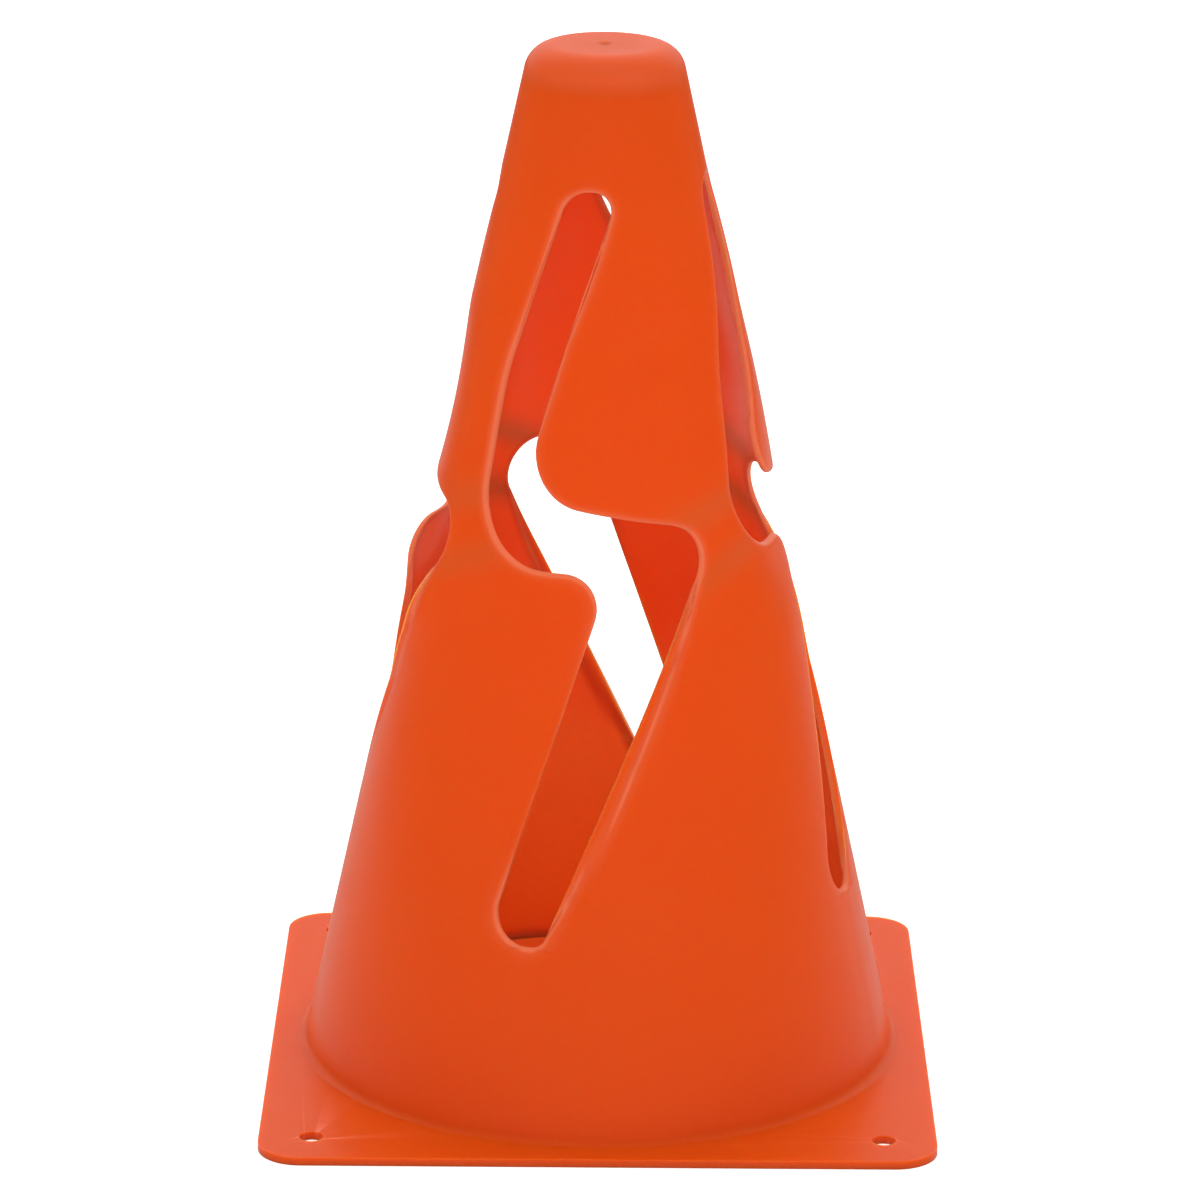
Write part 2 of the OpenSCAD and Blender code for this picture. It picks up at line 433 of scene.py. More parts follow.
def hump(rise, across):
    """Height of a soft hump whose top is 1. The place is given as shares of the hump's
    reach up or down and to a side."""
    return (1 - rise ** 2) ** 1.5 * math.exp(-across ** 2) if abs(rise) < 1 else 0.0


def stand_out(angle, z):
    """How far the soft wall stands off the plain cone at an angle and a height."""
    total = 0.0
    for middle, height, lean, high, wide, outs in SPRINGS:
        rise = (z - height) / high
        for quarter, out in enumerate(outs):
            off = angle - middle - lean * (z - height) - quarter * PITCH
            off = (off + math.pi) % (2 * math.pi) - math.pi
            total += out * hump(rise, off * wall_r(z) / wide)
    return total


def set_aside(angle, z):
    """Angle by which the wall is moved along itself at an angle and a height."""
    middle, height, high, wide, along = ASIDE
    r = wall_r(z)
    return along / r * hump((z - height) / high, (angle - middle) * r / wide)


def neck():
    """Middle of the neck between two slots, and the tilt of the line across it."""
    part_z = SLOT_LOW + SLOT_H * PART_SHARE
    right_r = RIGHT_SHARES[RIGHT_KNEE][2] * SLOT_W
    left_r = LEFT_SHARES[LEFT_KNEE][2] * SLOT_W
    a = round_middle(*RIGHT.corners[RIGHT_KNEE:RIGHT_KNEE + 3], right_r)
    b = round_middle(*LEFT.corners[LEFT_KNEE:LEFT_KNEE + 3], left_r)
    line = b + Vector((PITCH * wall_r(part_z), 0)) - a
    width = line.length - right_r - left_r
    return a + line.normalized() * (right_r + width / 2), math.atan2(line.y, line.x)


NECK, TILT = neck()
NECK_SPOT = spot(NECK)


def strap_place(at):
    """Distances across and along the neck of a spot on the wall."""
    x = wall_r(at.y) * math.sin(at.x - NECK_SPOT.x)
    z = at.y - NECK_SPOT.y
    return (x * math.cos(TILT) + z * math.sin(TILT), z * math.cos(TILT) - x * math.sin(TILT))


def crossing(side, turn, along):
    """Length at which a side crosses the strap's end at a distance along the neck."""
    best = None
    for k in range(CROSSING_STEPS + 1):
        length = side.lengths[-1] * k / CROSSING_STEPS
        across, flow = strap_place(spot(side.at(length), turn))
        if abs(across) < STRAP_REACH and (best is None or abs(flow - along) < best[0]):
            best = (abs(flow - along), length)
    return best[1]


HALF = STRAP_L / 2
TOP_CUT = (crossing(RIGHT, 0, HALF), crossing(LEFT, PITCH, HALF))
LOW_CUT = (crossing(RIGHT, 0, -HALF), crossing(LEFT, PITCH, -HALF))


def column_shares(width):
    """Where the columns of a row lie, as shares of its width: close together at its two
    ends and even in between."""
    near = [0.0] + [g / width for g in GRADES]
    even = COLUMNS - 2 * len(GRADES)
    first = near[-1]
    middle = [first + (1 - 2 * first) * k / even for k in range(1, even)]
    return near + middle + [1 - g for g in reversed(near)]


def straight_row(a, b):
    """Row of spots in a straight line between two spots."""
    width = math.hypot((b.x - a.x) * wall_r((a.y + b.y) / 2), b.y - a.y)
    return [a.lerp(b, share) for share in column_shares(width)]


def strap_end(cuts, along):
    """Row of spots along a strap's flat end."""
    row = straight_row(spot(RIGHT.at(cuts[0])), spot(LEFT.at(cuts[1]), PITCH))
    for at in row:
        for _ in range(FLAT_PASSES):
            x = wall_r(at.y) * math.sin(at.x - NECK_SPOT.x)
            at.y = NECK_SPOT.y + (along + x * math.sin(TILT)) / math.cos(TILT)
    return row


TOP_END = strap_end(TOP_CUT, HALF)
LOW_END = strap_end(LOW_CUT, -HALF)


def rows_between(stations, counts):
    """Rows from station to station. A station is a length along the right side of one
    slot and a length along the left side of the next."""
    rows = []
    for (a, b), count in zip(zip(stations, stations[1:]), counts):
        for k in range(count if b is not stations[-1] else count + 1):
            share = k / count
            rows.append(straight_row(spot(RIGHT.at(a[0] + (b[0] - a[0]) * share)),
                                     spot(LEFT.at(a[1] + (b[1] - a[1]) * share), PITCH)))
    return rows


def ring_rows(angle, heights):
    """Level rows of one quarter where the wall is closed all round."""
    return [straight_row(Vector((angle, z)), Vector((angle + PITCH, z))) for z in heights]


def slide_to(rows, end_row, first):
    """Bends the first or the last rows so that they run into a strap's flat end."""
    order = range(len(rows)) if first else range(len(rows) - 1, -1, -1)
    shift = [e - r for e, r in zip(end_row, rows[order[0]])]
    for step, i in zip(range(SLIDE_ROWS), order):
        weight = 1 - step / SLIDE_ROWS
        rows[i] = [p + s * weight for p, s in zip(rows[i], shift)]
    return rows


def crown_rows():
    """Rows of one quarter of the crown, from the cap down to the straps."""
    top = spot(RIGHT.points[0])
    first = top.y + 2 * GRADES[-1]
    heights = [CAP_Z + (first - CAP_Z) * k / RING_ROWS for k in range(RING_ROWS + 1)]
    heights += [top.y + g for g in reversed(GRADES)]
    fan = LEFT.at_height(CROWN_FAN_Z, LEFT.end_of_round(0), LEFT.start_of_round(LEFT_KNEE))
    stations = [(0.0, 0.0),
                (RIGHT.end_of_round(0), LEFT.end_of_round(0)),
                (RIGHT.middle_of_round(HANGING_CORNER), fan),
                TOP_CUT]
    return (ring_rows(top.x, heights)
            + slide_to(rows_between(stations, CROWN_ROWS), TOP_END, False))


def strap_rows():
    """Rows of one strap, from the crown to the skirt."""
    rows = rows_between([TOP_CUT, LOW_CUT], (STRAP_ROWS,))
    return slide_to(slide_to(rows, TOP_END, True), LOW_END, False)


def fillet_top(radius):
    """Height at which the foot's round meets the cone, and how far it reaches out."""
    reach = radius / math.tan((math.pi / 2 + math.atan(SLOPE)) / 2)
    return BASE_TOP + reach * math.cos(math.atan(SLOPE)), reach


def skirt_rows(fillet):
    """Rows of one quarter of the skirt, from the straps down to the plate."""
    fan = RIGHT.at_height(SKIRT_FAN_Z, RIGHT.end_of_round(RIGHT_KNEE),
                          RIGHT.start_of_round(RIGHT_KNEE + 1))
    last = len(LEFT_SHARES) - 1
    stations = [LOW_CUT,
                (fan, LEFT.middle_of_round(FREE_CORNER)),
                (RIGHT.start_of_round(last), LEFT.start_of_round(last)),
                (RIGHT.lengths[-1], LEFT.lengths[-1])]
    rows = slide_to(rows_between(stations, SKIRT_ROWS), LOW_END, True)
    low = spot(RIGHT.points[-1])
    heights = [low.y - g for g in GRADES]
    first = heights[-1]
    round_top, _ = fillet_top(fillet)
    heights += [first + (round_top - first) * k / FOOT_ROWS for k in range(1, FOOT_ROWS + 1)]
    centre = BASE_TOP + fillet
    start = math.acos((centre - round_top) / fillet)
    heights += [centre - fillet * math.cos(start * (1 - k / FILLET_ROWS))
                for k in range(1, FILLET_ROWS + 1)]
    return rows + ring_rows(low.x, heights)


def foot_swell(z, fillet):
    """How far the foot's round stands out from the plain cone at a height."""
    round_top, reach = fillet_top(fillet)
    if z >= round_top:
        return 0.0
    rise = max(fillet ** 2 - (BASE_TOP + fillet - z) ** 2, 0)
    return FOOT_R + reach - math.sqrt(rise) - wall_r(z)


def smooth_step(x):
    """Soft step from 0 to 1."""
    x = min(max(x, 0), 1)
    return x * x * (3 - 2 * x)


def painted_glow_share(z):
    """How strongly the inner side is painted with the glow of light that has come through: less
    towards the top, where the cone is narrow and much light comes straight in."""
    return 1 - (1 - PAINTED_GLOW_TOP) * smooth_step((z - PAINTED_GLOW_FROM) / (PAINTED_GLOW_TO - PAINTED_GLOW_FROM))


def edge_drop(gap, radius):
    """How far the rounded edge lies below the wall's face at a distance from the slot."""
    if gap >= radius:
        return 0.0
    return radius - math.sqrt(radius ** 2 - (radius - gap) ** 2)


# Helpers for modelling
def deselect():
    """Leaves edit mode and clears the selection."""
    if bpy.context.object and bpy.context.object.mode != "OBJECT":
        bpy.ops.object.mode_set(mode="OBJECT")
    bpy.ops.object.select_all(action="DESELECT")


def choose(*pieces):
    """Selects pieces and makes the first one active."""
    deselect()
    for piece in pieces:
        piece.select_set(True)
    bpy.context.view_layer.objects.active = pieces[0]


def edit_all(piece):
    """Opens a piece in edit mode with all of it selected."""
    choose(piece)
    bpy.ops.object.mode_set(mode="EDIT")
    bpy.ops.mesh.select_all(action="SELECT")


def added(name):
    """Names the object that an operator has just added and returns it."""
    piece = bpy.context.object
    piece.name = name
    piece.data.name = name
    return piece


def quarter_sheet(name, rows, sizes):
    """Sheet of one quarter of the wall: a grid whose rows are laid on the cone."""
    deselect()
    bpy.ops.mesh.primitive_grid_add(x_subdivisions=COLUMNS, y_subdivisions=len(rows) - 1,
                                    size=1, location=(0, 0, 0))
    piece = added(name)
    for layer in (*LAYERS, "outer_drop", "inner_drop"):
        piece.data.attributes.new(layer, "FLOAT", "POINT")
    layers = piece.data.attributes
    rim = layers["rim"].data
    bend = layers["bend"].data
    for v in piece.data.vertices:
        column = round((v.co.x + 0.5) * COLUMNS)
        row = round((0.5 - v.co.y) * (len(rows) - 1))
        at = rows[row][column]
        gap = gap_to_slot(at)
        # Nearness to a slot edge, where the plastic paints a paler highlight
        rim[v.index].value = smooth_step(1 - gap / HIGHLIGHT_RIM_REACH)
        across, flow = strap_place(at)
        if abs(across) < STRAP_REACH:
            bend[v.index].value = max(1 - abs(abs(flow) - HALF) / BEND_REACH, 0)
        drop = edge_drop(gap, sizes.edge_radius)
        layers["outer_drop"].data[v.index].value = drop
        layers["inner_drop"].data[v.index].value = edge_drop(gap, INNER_EDGE)
        r = wall_r(at.y) + foot_swell(at.y, sizes.foot_fillet) - drop
        v.co = (r * math.sin(at.x), -r * math.cos(at.x), at.y)
    return piece


def spring_out(piece):
    """Moves a sheet of the wall to where the sprung panels stand, out and to the side."""
    for v in piece.data.vertices:
        angle = math.atan2(v.co.x, -v.co.y) % (2 * math.pi)
        r = math.hypot(v.co.x, v.co.y) + stand_out(angle, v.co.z)
        angle += set_aside(angle, v.co.z)
        v.co = (r * math.sin(angle), -r * math.cos(angle), v.co.z)


def merge(piece):
    """Merges the points of a piece that lie on each other."""
    edit_all(piece)
    bpy.ops.mesh.remove_doubles(threshold=TINY)
    bpy.ops.object.mode_set(mode="OBJECT")


def all_round(piece):
    """Copies a quarter to all four sides and joins the quarters into one sheet."""
    edit_all(piece)
    for _ in range(SLOTS - 1):
        bpy.ops.mesh.duplicate()
        bpy.ops.transform.rotate(value=PITCH, orient_axis="Z", orient_type="GLOBAL",
                                 center_override=(0, 0, 0))
    merge(piece)


def outwards(piece):
    """Turns all faces of a closed piece outwards."""
    edit_all(piece)
    bpy.ops.mesh.normals_make_consistent(inside=False)
    bpy.ops.object.mode_set(mode="OBJECT")


def give_wall(piece, sizes):
    """Extrudes the sheet inwards to the wall's thickness, level all round."""
    edit_all(piece)
    bpy.ops.mesh.select_mode(type="FACE")
    bpy.ops.mesh.extrude_region_move()
    bpy.ops.object.mode_set(mode="OBJECT")
    layers = piece.data.attributes
    for v in piece.data.vertices:
        if v.select:
            r = math.hypot(v.co.x, v.co.y)
            inner = (r - foot_swell(v.co.z, sizes.foot_fillet) - sizes.wall
                     + layers["outer_drop"].data[v.index].value
                     + layers["inner_drop"].data[v.index].value)
            v.co.x *= inner / r
            v.co.y *= inner / r
            # The inner side gets its share of the painted glow
            layers["inside"].data[v.index].value = painted_glow_share(v.co.z)
    layers.remove(layers["outer_drop"])
    layers.remove(layers["inner_drop"])
    outwards(piece)


def smooth(piece):
    """Shades the piece smooth, with its sharp edges left sharp and its level faces flat."""
    choose(piece)
    bpy.ops.object.shade_smooth_by_angle(angle=SHARP_FROM)
    for face in piece.data.polygons:
        if abs(face.normal.z) > LEVEL:
            face.use_smooth = False
    flat = piece.modifiers.new("flat faces", "WEIGHTED_NORMAL")
    flat.keep_sharp = True
    bpy.ops.object.modifier_apply(modifier=flat.name)


def open_at(piece, z):
    """Deletes the flat ring of faces at a height."""
    choose(piece)
    bpy.ops.object.mode_set(mode="EDIT")
    bpy.ops.mesh.select_mode(type="FACE")
    bpy.ops.mesh.select_all(action="DESELECT")
    bpy.ops.object.mode_set(mode="OBJECT")
    for face in piece.data.polygons:
        face.select = all(abs(piece.data.vertices[i].co.z - z) < TINY for i in face.vertices)
    bpy.ops.object.mode_set(mode="EDIT")
    bpy.ops.mesh.delete(type="FACE")
    bpy.ops.object.mode_set(mode="OBJECT")


def cut(piece, cutter, operation="DIFFERENCE"):
    """Cuts a piece with another one, or joins them, and takes the other one away."""
    choose(piece)
    change = piece.modifiers.new("cut", "BOOLEAN")
    change.operation = operation
    change.solver = "EXACT"
    change.object = cutter
    bpy.ops.object.modifier_apply(modifier=change.name)
    bpy.data.objects.remove(cutter)


def finish_piece(piece, body, nodes):
    """Gives the piece its plastic and its body, if it has one, and hides the solids that it stands for."""
    piece.data.materials.clear()
    piece.data.materials.append(bpy.data.materials["Moulded LDPE"])
    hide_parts(*nodes)
    if body:
        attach(piece, body)


# Materials
def add_node(tree, kind, settings=None, links=None):
    """Adds a node, sets its properties or input values and links its inputs."""
    node = tree.nodes.new(kind)
    for key, value in (settings or {}).items():
        if isinstance(key, int) or key in node.inputs:
            node.inputs[key].default_value = value
        else:
            setattr(node, key, value)
    for key, socket in (links or {}).items():
        tree.links.new(socket, node.inputs[key])
    return node


def cleared_tree(owner):
    """Node tree of a material or a world with its first nodes taken out."""
    owner.use_nodes = True
    owner.node_tree.nodes.clear()
    return owner.node_tree


def opaque(colour):
    """Colour with the fourth number that a node wants."""
    return (*colour, 1.0)


def moulded_ldpe(colours):
    """Low density polyethylene from a polished mould: soft gloss, rubbed dull in places,
    faint flow marks, and a little light that passes into the wall and out of its edges, with
    a painted glow on the inner side and painted highlights on the edges and the shoulder."""
    tree = cleared_tree(bpy.data.materials.new("Moulded LDPE"))
    place = add_node(tree, "ShaderNodeTexCoord").outputs["Object"]
    # Flow of the melt: broad, very weak clouds
    flow = add_node(tree, "ShaderNodeTexNoise", {"Scale": 1 / CLOUD_W, "Detail": 2.0},
                    {"Vector": place})
    # Patches of gloss rubbed dull by handling
    rub = add_node(tree, "ShaderNodeTexNoise", {"Scale": 1 / RUB_W, "Detail": 1.0},
                   {"Vector": place})
    cloud = opaque(c * CLOUD_SHADE for c in colours.plastic)
    tint = add_node(tree, "ShaderNodeMix",
                    {"data_type": "RGBA", 6: cloud, 7: opaque(colours.plastic)},
                    {0: flow.outputs["Fac"]})
    # Painted glow: the inner side is painted lighter, for light that comes through the thin wall
    inside = add_node(tree, "ShaderNodeAttribute", {"attribute_name": "inside"})
    painted_glow = add_node(tree, "ShaderNodeMix", {"data_type": "RGBA", 7: opaque(colours.inner)},
                    {0: inside.outputs["Fac"], 6: tint.outputs[2]})
    # Painted highlight: the cut edges are painted paler, for light that leaves the wall there
    rim = add_node(tree, "ShaderNodeAttribute", {"attribute_name": "rim"})
    edge = add_node(tree, "ShaderNodeMix", {"data_type": "RGBA", 7: opaque(colours.rim)},
                    {0: rim.outputs["Fac"], 6: painted_glow.outputs[2]})
    # Painted highlight: the last bit of the edge, where the wall is thinnest, is painted as a pale line
    thin = add_node(tree, "ShaderNodeMapRange", {"From Min": HIGHLIGHT_LINE_FROM},
                    {"Value": rim.outputs["Fac"]})
    line = add_node(tree, "ShaderNodeMix", {"data_type": "RGBA", 7: opaque(colours.line)},
                    {0: thin.outputs["Result"], 6: edge.outputs[2]})
    gloss = add_node(tree, "ShaderNodeMapRange",
                     {"From Min": RUB_FROM, "From Max": RUB_TO, "To Min": CLEAN_ROUGH,
                      "To Max": RUBBED_ROUGH}, {"Value": rub.outputs["Fac"]})
    # Plastic that has been bent over and over turns dull and lets less light through, and
    # the tough skin of the edges does so in part
    bend = add_node(tree, "ShaderNodeAttribute", {"attribute_name": "bend"})
    skin = add_node(tree, "ShaderNodeMath", {"operation": "MULTIPLY", 1: EDGE_SKIN},
                    {0: rim.outputs["Fac"]})
    dull = add_node(tree, "ShaderNodeMath", {"operation": "MAXIMUM"},
                    {0: bend.outputs["Fac"], 1: skin.outputs["Value"]})
    passed = add_node(tree, "ShaderNodeMapRange", {"To Min": LIGHT_SHARE, "To Max": 0.0},
                      {"Value": dull.outputs["Value"]})
    shader = add_node(tree, "ShaderNodeBsdfPrincipled",
                      {"IOR": PLASTIC_IOR, "Specular IOR Level": PLASTIC_SPECULAR,
                       "Subsurface Scale": LIGHT_DEPTH, "Subsurface Radius": LIGHT_REACH},
                      {"Base Color": line.outputs[2], "Roughness": gloss.outputs["Result"],
                       "Subsurface Weight": passed.outputs["Result"]})
    add_node(tree, "ShaderNodeOutputMaterial", None, {"Surface": shader.outputs["BSDF"]})


def stage_white(colours):
    """Matt white sweep, painted orange under the cone to stand in for light that has come
    through orange walls. The camera sees it brighter, so that it joins the backdrop."""
    material = bpy.data.materials.new("Stage white")
    tree = cleared_tree(material)
    place = add_node(tree, "ShaderNodeTexCoord")
    far = add_node(tree, "ShaderNodeVectorMath", {"operation": "LENGTH"},
                   {0: place.outputs["Object"]})
    clear = add_node(tree, "ShaderNodeMath", {"operation": "GREATER_THAN", 1: FOOT_R},
                     {0: far.outputs["Value"]})
    colour = add_node(tree, "ShaderNodeMix",
                      {"data_type": "RGBA", 6: opaque(colours.shade),
                       7: opaque(colours.floor)}, {0: clear.outputs["Value"]})
    paint = add_node(tree, "ShaderNodeBsdfDiffuse", None, {"Color": colour.outputs[2]})
    # The camera's lift takes the floor's colour, so under the cone it is a painted orange glow
    lift = add_node(tree, "ShaderNodeEmission", {"Strength": STAGE_LIFT},
                    {"Color": colour.outputs[2]})
    both = add_node(tree, "ShaderNodeAddShader", None, {0: paint.outputs[0], 1: lift.outputs[0]})
    path = add_node(tree, "ShaderNodeLightPath")
    seen = add_node(tree, "ShaderNodeMixShader", None,
                    {0: path.outputs["Is Camera Ray"], 1: paint.outputs[0],
                     2: both.outputs[0]})
    # Gloss sees paper of a real width, a dim room beside it, and a dim spot under the cone
    parts = add_node(tree, "ShaderNodeSeparateXYZ", None, {0: place.outputs["Object"]})
    side = add_node(tree, "ShaderNodeMath", {"operation": "ABSOLUTE"}, {0: parts.outputs["X"]})
    paper = add_node(tree, "ShaderNodeMapRange",
                     {"interpolation_type": "SMOOTHSTEP", "From Min": PAPER_FROM,
                      "From Max": PAPER_TO, "To Min": PAPER_GLOSS, "To Max": ROOM_GLOSS},
                     {"Value": side.outputs["Value"]})
    level = add_node(tree, "ShaderNodeMath", {"operation": "MULTIPLY"},
                     {0: paper.outputs["Result"], 1: clear.outputs["Value"]})
    mirrored = add_node(tree, "ShaderNodeEmission", None, {"Strength": level.outputs[0]})
    mix = add_node(tree, "ShaderNodeMixShader", None,
                   {0: path.outputs["Is Glossy Ray"], 1: seen.outputs[0],
                    2: mirrored.outputs[0]})
    add_node(tree, "ShaderNodeOutputMaterial", None, {"Surface": mix.outputs[0]})
    return material


def studio_world():
    """World of the studio. The camera sees plain white. Matt and glossy surfaces see the
    white sweep behind the cone and a dimmer room in front of it, each at its own level."""
    world = bpy.data.worlds.new("Studio")
    tree = cleared_tree(world)
    path = add_node(tree, "ShaderNodeLightPath")
    shiny = add_node(tree, "ShaderNodeMath", {"operation": "MAXIMUM"},
                     {0: path.outputs["Is Glossy Ray"], 1: path.outputs["Is Transmission Ray"]})
    place = add_node(tree, "ShaderNodeTexCoord")
    away = add_node(tree, "ShaderNodeVectorMath", {"operation": "DOT_PRODUCT", 1: SWEEP_AIM},
                    {0: place.outputs["Generated"]})
    matt, gloss = (
        add_node(tree, "ShaderNodeMapRange",
                 {"interpolation_type": "SMOOTHSTEP", "From Min": SWEEP_FROM,
                  "From Max": SWEEP_TO, "To Min": room, "To Max": sweep},
                 {"Value": away.outputs["Value"]})
        for room, sweep in ((ROOM_LIGHT, SWEEP_LIGHT), (ROOM_GLOSS, SWEEP_GLOSS)))
    light = add_node(tree, "ShaderNodeMix", None,
                     {0: shiny.outputs[0], 2: matt.outputs["Result"],
                      3: gloss.outputs["Result"]})
    level = add_node(tree, "ShaderNodeMix", {3: 1.0},
                     {0: path.outputs["Is Camera Ray"], 2: light.outputs["Result"]})
    back = add_node(tree, "ShaderNodeBackground", {"Color": (1, 1, 1, 1)},
                    {"Strength": level.outputs["Result"]})
    add_node(tree, "ShaderNodeOutputWorld", None, {"Surface": back.outputs[0]})
    return world


# Operators
class CONE_OT_stage(bpy.types.Operator):
    """Lays the floor and sets the light and the camera"""
    bl_idname = "marker_cone.stage"
    bl_label = "Stage"

    def execute(self, context):
        deselect()
        bpy.ops.mesh.primitive_plane_add(size=STAGE_W, location=(0, 0, 0))
        floor = added("floor")
        floor.data.materials.append(stage_white(context.scene.cone_colours))
        context.scene.world = studio_world()
        for name, place, width, power in LAMPS:
            deselect()
            bpy.ops.object.light_add(type="AREA", location=place)
            lamp = added(name)
            lamp.data.size = width
            lamp.data.energy = power
            turn = (LAMP_AIM - Vector(place)).to_track_quat("-Z", "Y")
            lamp.rotation_euler = turn.to_euler()
            lamp.visible_glossy = False
        deselect()
        bpy.ops.object.camera_add(location=CAMERA_PLACE)
        camera = added("camera")
        camera.data.sensor_width = SENSOR
        camera.data.lens = CAMERA_F_PX / IMAGE_PX * SENSOR
        camera.matrix_world = (Matrix.Translation(CAMERA_PLACE)
                               @ Matrix.Rotation(math.pi / 2 - CAMERA_PITCH, 4, "X")
                               @ Matrix.Rotation(CAMERA_ROLL, 4, "Z"))
        context.scene.camera = camera
        context.scene.view_settings.view_transform = "Standard"
        return {"FINISHED"}


class CONE_OT_base(bpy.types.Operator):
    """Makes the square base plate with its corner holes"""
    bl_idname = "marker_cone.base"
    bl_label = "Base plate"

    def execute(self, context):
        sizes = context.scene.cone_sizes
        deselect()
        bpy.ops.mesh.primitive_cube_add(size=1, location=(0, 0, 0))
        piece = added("base")
        for v in piece.data.vertices:
            v.co = (v.co.x * BASE_W, v.co.y * BASE_W, (v.co.z + 0.5) * BASE_TOP)
        # The four upright edges get the corner radius
        bpy.ops.object.mode_set(mode="EDIT")
        bpy.ops.mesh.select_mode(type="EDGE")
        bpy.ops.mesh.select_all(action="DESELECT")
        bpy.ops.object.mode_set(mode="OBJECT")
        for edge in piece.data.edges:
            a, b = (piece.data.vertices[i].co for i in edge.vertices)
            edge.select = abs(a.z - b.z) > BASE_TOP / 2
        bpy.ops.object.mode_set(mode="EDIT")
        bpy.ops.mesh.bevel(offset=sizes.base_corner, segments=CORNER_SEGMENTS,
                           affect="EDGES")
        bpy.ops.object.mode_set(mode="OBJECT")
        # The cone's opening and the corner holes
        half = sizes.hole_pitch / 2
        holes = [(0, 0, FOOT_R - sizes.wall, SLOTS * COLUMNS)]
        holes += [(x, y, sizes.hole / 2, HOLE_SIDES)
                  for x in (-half, half) for y in (-half, half)]
        for x, y, radius, count in holes:
            deselect()
            bpy.ops.mesh.primitive_cylinder_add(vertices=count, radius=radius,
                                                depth=3 * BASE_TOP,
                                                location=(x, y, BASE_TOP / 2))
            cut(piece, context.object)
        # Soft edges on the rim and the corner holes, none under the cone
        mesh = piece.data
        weight = mesh.attributes.new("bevel_weight_edge", "FLOAT", "EDGE")
        level = {}
        for face in mesh.polygons:
            for key in face.edge_keys:
                level.setdefault(key, set()).add(abs(face.normal.z) > LEVEL)
        for edge in mesh.edges:
            a = mesh.vertices[edge.vertices[0]].co
            if len(level[edge.key]) > 1 and math.hypot(a.x, a.y) > FOOT_R:
                weight.data[edge.index].value = 1.0
        bevel = piece.modifiers.new("soft edges", "BEVEL")
        bevel.limit_method = "WEIGHT"
        bevel.width = sizes.base_edge
        bevel.segments = EDGE_SEGMENTS
        bpy.ops.object.modifier_apply(modifier=bevel.name)
        for layer in LAYERS:
            mesh.attributes.new(layer, "FLOAT", "POINT")
        return {"FINISHED"}


class CONE_OT_skirt(bpy.types.Operator):
    """Makes the skirt with its four standing panels and joins it to the base plate"""
    bl_idname = "marker_cone.skirt"
    bl_label = "Skirt"

    def execute(self, context):
        sizes = context.scene.cone_sizes
        piece = quarter_sheet("lower_cone", skirt_rows(sizes.foot_fillet), sizes)
        all_round(piece)
        spring_out(piece)
        give_wall(piece, sizes)
        cut(piece, bpy.data.objects["base"], "UNION")
        # Down at the foot's round only the inner side of the wall gets the painted glow of light from
        # outside
        inside = piece.data.attributes["inside"].data
        for v in piece.data.vertices:
            if v.co.z < BASE_TOP + sizes.foot_fillet:
                r = math.hypot(v.co.x, v.co.y)
                inside[v.index].value = float(r < wall_r(v.co.z) - sizes.wall / 2)
        smooth(piece)
        finish_piece(piece, "skirt_body", ["skirt", "base_plate"])
        return {"FINISHED"}


class CONE_OT_straps(bpy.types.Operator):
    """Makes the four straps that carry the crown"""
    bl_idname = "marker_cone.straps"
    bl_label = "Straps"

    def execute(self, context):
        sizes = context.scene.cone_sizes
        first = quarter_sheet("neck_front", strap_rows(), sizes)
        pieces = [first]
        for i, side in enumerate(("right", "rear", "left")):
            piece = first.copy()
            piece.data = first.data.copy()
            piece.name = piece.data.name = "neck_" + side
            piece.data.transform(Matrix.Rotation((i + 1) * PITCH, 4, "Z"))
            context.collection.objects.link(piece)
            pieces.append(piece)
        r = wall_r(NECK_SPOT.y)
        middle = Vector((r * math.sin(NECK_SPOT.x), -r * math.cos(NECK_SPOT.x), NECK_SPOT.y))
        flow = Vector((-math.sin(TILT) * math.cos(NECK_SPOT.x),
                       -math.sin(TILT) * math.sin(NECK_SPOT.x), math.cos(TILT)))
        for i, piece in enumerate(pieces):
            turn = Matrix.Rotation(i * PITCH, 4, "Z")
            spring_out(piece)
            give_wall(piece, sizes)
            smooth(piece)
            finish_piece(piece, None, [piece.name.replace("neck", "strap")])
            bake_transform(piece, "skirt_body", "crown_body",
                     start=tuple(turn @ (middle - flow * HALF)),
                     end=tuple(turn @ (middle + flow * HALF)))
        return {"FINISHED"}


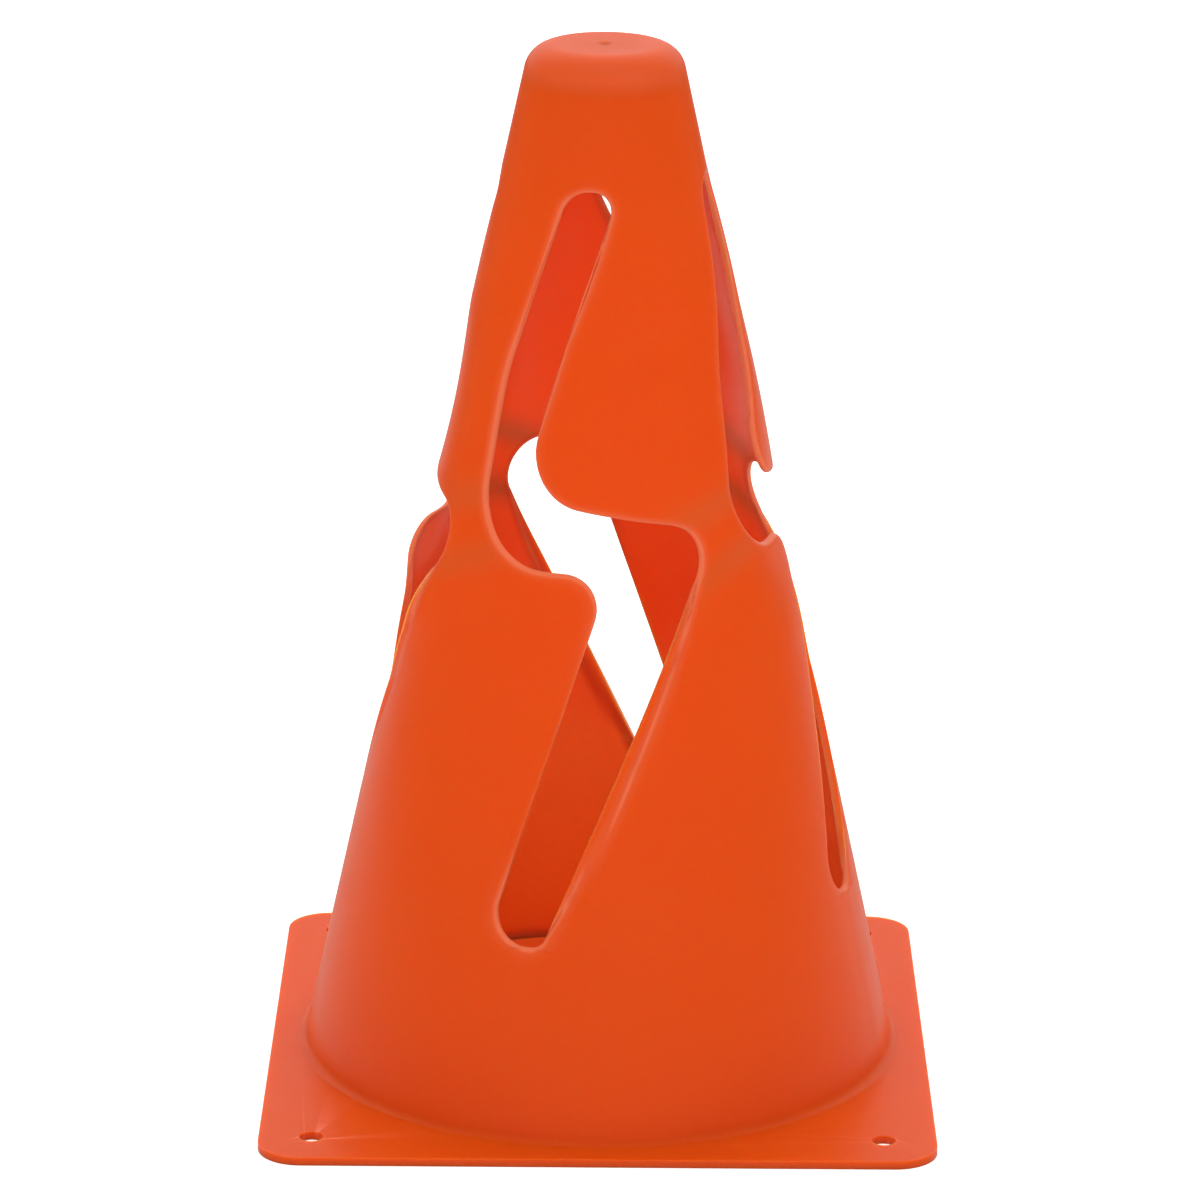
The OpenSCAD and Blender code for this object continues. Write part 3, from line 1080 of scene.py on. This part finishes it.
class CONE_OT_cap(bpy.types.Operator):
    """Makes the closed cap with its gate mark"""
    bl_idname = "marker_cone.cap"
    bl_label = "Cap"

    def execute(self, context):
        sizes = context.scene.cone_sizes
        slope = math.atan(SLOPE)
        # The outside, from the crown up over the shoulder and into the gate mark
        rings = [(wall_r(CAP_Z), CAP_Z)]
        centre_r = wall_r(HEIGHT) - sizes.shoulder / math.tan((math.pi / 2 + slope) / 2)
        for k in range(SHOULDER_STEPS + 1):
            turn = slope + (math.pi / 2 - slope) * k / SHOULDER_STEPS
            rings.append((centre_r + sizes.shoulder * math.cos(turn),
                          HEIGHT - sizes.shoulder * (1 - math.sin(turn))))
        gate = sizes.gate / 2
        rings.append((2 * gate, HEIGHT))
        for k in range(GATE_STEPS):
            share = 1 - k / GATE_STEPS
            rings.append((gate * share, HEIGHT - sizes.gate_deep
                          * (1 + math.cos(math.pi * share)) / 2))
        # The inside, with a small round under the shoulder
        top_in = HEIGHT - sizes.cap
        round_z = top_in - INNER_ROUND
        corner_r = wall_r(top_in) - sizes.wall
        inner = [(wall_r(CAP_Z) - sizes.wall, CAP_Z),
                 (wall_r(round_z) - sizes.wall, round_z),
                 (corner_r - INNER_CUT, top_in - INNER_CUT),
                 (corner_r - INNER_ROUND, top_in),
                 (gate / 2, top_in)]
        # A circle with its corners on the wall's columns is drawn up ring by ring
        count = SLOTS * COLUMNS
        begin = spot(RIGHT.points[0]).x
        shares = column_shares(PITCH * wall_r(CAP_Z))
        deselect()
        bpy.ops.mesh.primitive_circle_add(vertices=count, radius=1, location=(0, 0, 0))
        piece = added("cap")
        for v in piece.data.vertices:
            angle = begin + PITCH * (v.index // COLUMNS + shares[v.index % COLUMNS])
            v.co = (rings[0][0] * math.sin(angle), -rings[0][0] * math.cos(angle),
                    rings[0][1])
        for run in (rings[1:], inner):
            choose(piece)
            for v in piece.data.vertices:
                v.select = v.index < count
            for edge in piece.data.edges:
                edge.select = all(i < count for i in edge.vertices)
            bpy.ops.object.mode_set(mode="EDIT")
            bpy.ops.mesh.select_mode(type="EDGE")
            for r, z in run:
                bpy.ops.mesh.extrude_edges_move()
                bpy.ops.object.mode_set(mode="OBJECT")
                for v in piece.data.vertices:
                    if v.select:
                        scale = r / math.hypot(v.co.x, v.co.y)
                        v.co = (v.co.x * scale, v.co.y * scale, z)
                bpy.ops.object.mode_set(mode="EDIT")
            bpy.ops.mesh.edge_face_add()
            bpy.ops.object.mode_set(mode="OBJECT")
        layers = piece.data.attributes
        for layer in LAYERS:
            layers.new(layer, "FLOAT", "POINT")
        # The inner side gets the painted glow of light from outside, and the shoulder a painted sheen
        for v in piece.data.vertices:
            if v.index >= count * len(rings):
                layers["inside"].data[v.index].value = PAINTED_GLOW_TOP
            if count <= v.index < count * (SHOULDER_STEPS + 2):
                layers["rim"].data[v.index].value = SHOULDER_PAINTED_SHEEN
        outwards(piece)
        return {"FINISHED"}


class CONE_OT_crown(bpy.types.Operator):
    """Makes the crown with its four hanging panels and joins it to the cap"""
    bl_idname = "marker_cone.crown"
    bl_label = "Crown"

    def execute(self, context):
        sizes = context.scene.cone_sizes
        piece = quarter_sheet("upper_cone", crown_rows(), sizes)
        all_round(piece)
        spring_out(piece)
        give_wall(piece, sizes)
        cap = bpy.data.objects["cap"]
        open_at(piece, CAP_Z)
        open_at(cap, CAP_Z)
        choose(piece, cap)
        bpy.ops.object.join()
        merge(piece)
        outwards(piece)
        smooth(piece)
        finish_piece(piece, "crown_body", ["crown", "top_cap"])
        return {"FINISHED"}


class CONE_PT_panel(bpy.types.Panel):
    """Lists the cone's pieces, sizes and colours"""
    bl_idname = "CONE_PT_panel"
    bl_label = "Marker cone"
    bl_space_type = "VIEW_3D"
    bl_region_type = "UI"
    bl_category = "Marker Cone"

    def draw(self, context):
        layout = self.layout
        for operator in OPERATORS:
            layout.operator(operator.bl_idname)
        for group in (context.scene.cone_sizes, context.scene.cone_colours):
            box = layout.box()
            for name in group.__annotations__:
                box.prop(group, name)


OPERATORS = (CONE_OT_stage, CONE_OT_base, CONE_OT_skirt, CONE_OT_straps, CONE_OT_cap,
             CONE_OT_crown)
CLASSES = (ConeSizes, ConeColours) + OPERATORS + (CONE_PT_panel,)


def register():
    """Registers the classes and puts the sizes and colours on the scene."""
    for item in CLASSES:
        bpy.utils.register_class(item)
    bpy.types.Scene.cone_sizes = bpy.props.PointerProperty(type=ConeSizes)
    bpy.types.Scene.cone_colours = bpy.props.PointerProperty(type=ConeColours)


def unregister():
    """Takes the classes and the scene's properties away again."""
    del bpy.types.Scene.cone_colours
    del bpy.types.Scene.cone_sizes
    for item in reversed(CLASSES):
        bpy.utils.unregister_class(item)


def main():
    """Builds the cone and its stage."""
    register()
    moulded_ldpe(bpy.context.scene.cone_colours)
    bpy.ops.marker_cone.stage()
    bpy.ops.marker_cone.base()
    bpy.ops.marker_cone.skirt()
    bpy.ops.marker_cone.straps()
    bpy.ops.marker_cone.cap()
    bpy.ops.marker_cone.crown()


if __name__ == "__main__":
    main()
